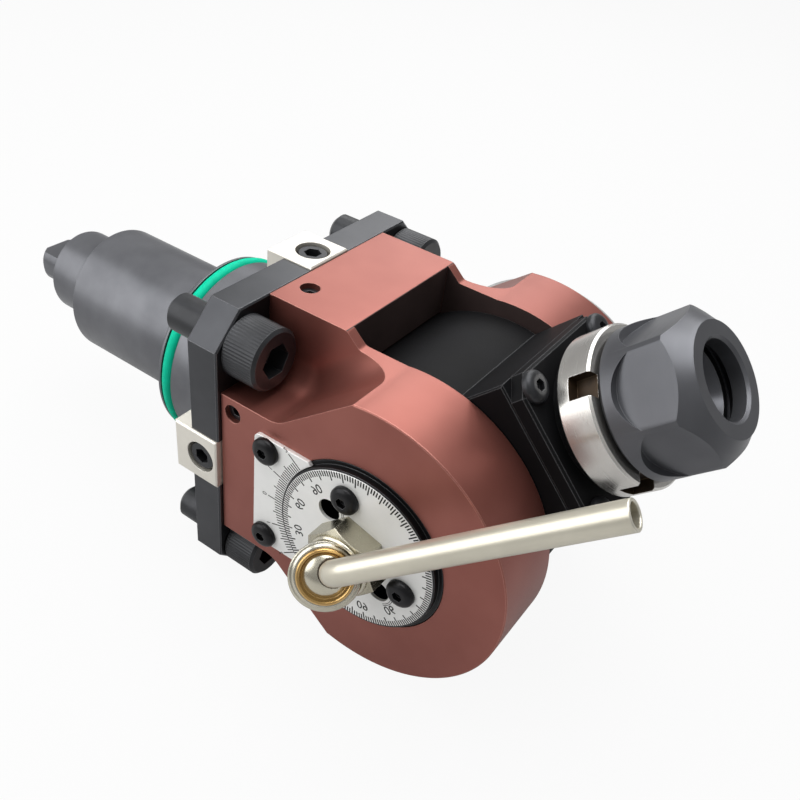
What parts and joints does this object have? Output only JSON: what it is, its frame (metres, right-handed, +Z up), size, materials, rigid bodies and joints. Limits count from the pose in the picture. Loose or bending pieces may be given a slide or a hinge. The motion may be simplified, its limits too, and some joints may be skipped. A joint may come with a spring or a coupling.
{
  "type": "adjustable live tool holder",
  "caption": "Driven turret tool holder with a swivelling head between fork cheeks, angle dial, collet nut spindle and coolant nozzle.",
  "frame": {"origin": "on the shank's axis, in the seating face at the back of the flange", "axes": "+X along the shank's axis towards the nose, +Y along the pivot axis away from the dial, +Z up"},
  "size_m": [0.2202, 0.1145, 0.1061],
  "materials": {
    "black_steel": "black oxide, satin",
    "brown_anodised": "red-brown anodised, satin",
    "ground_steel": "ground",
    "key_steel": "ground, bright",
    "bearing_steel": "polished",
    "bronze": "turned",
    "brass": "turned, bright",
    "nickel": "nickel plated",
    "scale_plate": "satin silver anodised, engraved",
    "cover_aluminium": "turned, clear anodised",
    "green_rubber": "moulded, gloss",
    "seal_rubber": "moulded"
  },
  "bodies": {
    "holder": {"shank_flange": "black_steel", "pilot_o_ring": "green_rubber", "locating_keys": "key_steel", "key_screws": "black_steel", "mounting_bolts": "black_steel", "fork_screws": "black_steel", "fork_housing": "brown_anodised", "set_screws": "black_steel", "pivot_bushes": "bronze", "vernier_plate": "scale_plate", "vernier_screws": "black_steel", "gear_cover": "cover_aluminium", "gear_cover_screws": "black_steel", "outer_pivot_bearing": "bearing_steel", "front_drive_bearings": "bearing_steel", "drive_bearing_spacer": "ground_steel", "rear_drive_bearing": "bearing_steel", "bearing_ring_nut": "black_steel", "shank_seal": "seal_rubber", "layshaft_bearings": "bearing_steel"},
    "drive_shaft_group": {"drive_shaft": "black_steel", "drive_gear": "ground_steel", "drive_gear_key": "ground_steel"},
    "layshaft_group": {"layshaft": "ground_steel", "layshaft_gear": "ground_steel", "bevel_pinion": "ground_steel"},
    "pivot_shaft_group": {"pivot_shaft": "ground_steel", "bevel_wheel": "ground_steel", "pivot_bevel_gear": "ground_steel", "pivot_circlip": "black_steel"},
    "swivel_head": {"head_housing": "black_steel", "dial_trunnion": "black_steel", "trunnion_screws": "black_steel", "dial_plate": "scale_plate", "dial_screws": "black_steel", "far_trunnion": "ground_steel", "far_trunnion_screws": "black_steel", "inner_pivot_bearing": "bearing_steel", "front_cover": "black_steel", "front_cover_screws": "black_steel", "spindle_seal": "seal_rubber", "front_spindle_bearings": "bearing_steel", "rear_spindle_bearing": "bearing_steel", "coolant_fitting": "nickel", "nozzle_clamp_nut": "nickel", "nozzle_brass_ring": "brass"},
    "spindle_group": {"spindle": "ground_steel", "wrench_ring": "ground_steel", "nose_bevel_gear": "ground_steel"},
    "extraction_ring": {"nut_extraction_ring": "ground_steel"},
    "collet_nut": {"collet_nut": "black_steel"},
    "nozzle": {"coolant_ball": "nickel", "coolant_tube": "nickel"}
  },
  "joints": [
    {"name": "swivel", "type": "hinge", "parent": "holder", "child": "swivel_head", "pos_m": [0.053, 0, 0], "axis": [0, -1, 0], "range_deg": [-135, 45]},
    {"name": "drive_spin", "type": "hinge", "parent": "holder", "child": "drive_shaft_group", "pos_m": [0, 0, 0], "axis": [1, 0, 0], "continuous": true},
    {"name": "layshaft_spin", "type": "hinge", "parent": "holder", "child": "layshaft_group", "pos_m": [0.013, 0.03, 0], "axis": [1, 0, 0], "continuous": true},
    {"name": "pivot_shaft_spin", "type": "hinge", "parent": "holder", "child": "pivot_shaft_group", "pos_m": [0.053, 0, 0], "axis": [0, 1, 0], "continuous": true},
    {"name": "spindle_spin", "type": "hinge", "parent": "swivel_head", "child": "spindle_group", "pos_m": [0.053, 0, 0], "axis": [0.7071, 0, 0.7071], "continuous": true},
    {"name": "collet_nut_travel", "type": "slide", "parent": "spindle_group", "child": "extraction_ring", "axis": [0.7071, 0, 0.7071], "range_m": [0, 0.0045]},
    {"name": "collet_nut_turn", "type": "hinge", "parent": "extraction_ring", "child": "collet_nut", "pos_m": [0.10108, 0, 0.04808], "axis": [0.7071, 0, 0.7071], "range_deg": [0, 1080]},
    {"name": "nozzle_swing", "type": "hinge", "parent": "swivel_head", "child": "nozzle", "pos_m": [0.053, -0.0501, 0], "axis": [0, -1, 0], "continuous": true}
  ],
  "couplings": [
    {"joint": "layshaft_spin", "follows": "drive_spin", "ratio": -3.2857},
    {"joint": "pivot_shaft_spin", "follows": "drive_spin", "ratio": -1},
    {"joint": "spindle_spin", "follows": "drive_spin", "ratio": 1},
    {"joint": "collet_nut_turn", "follows": "collet_nut_travel", "rad_per_m": 4188.8}
  ]
}
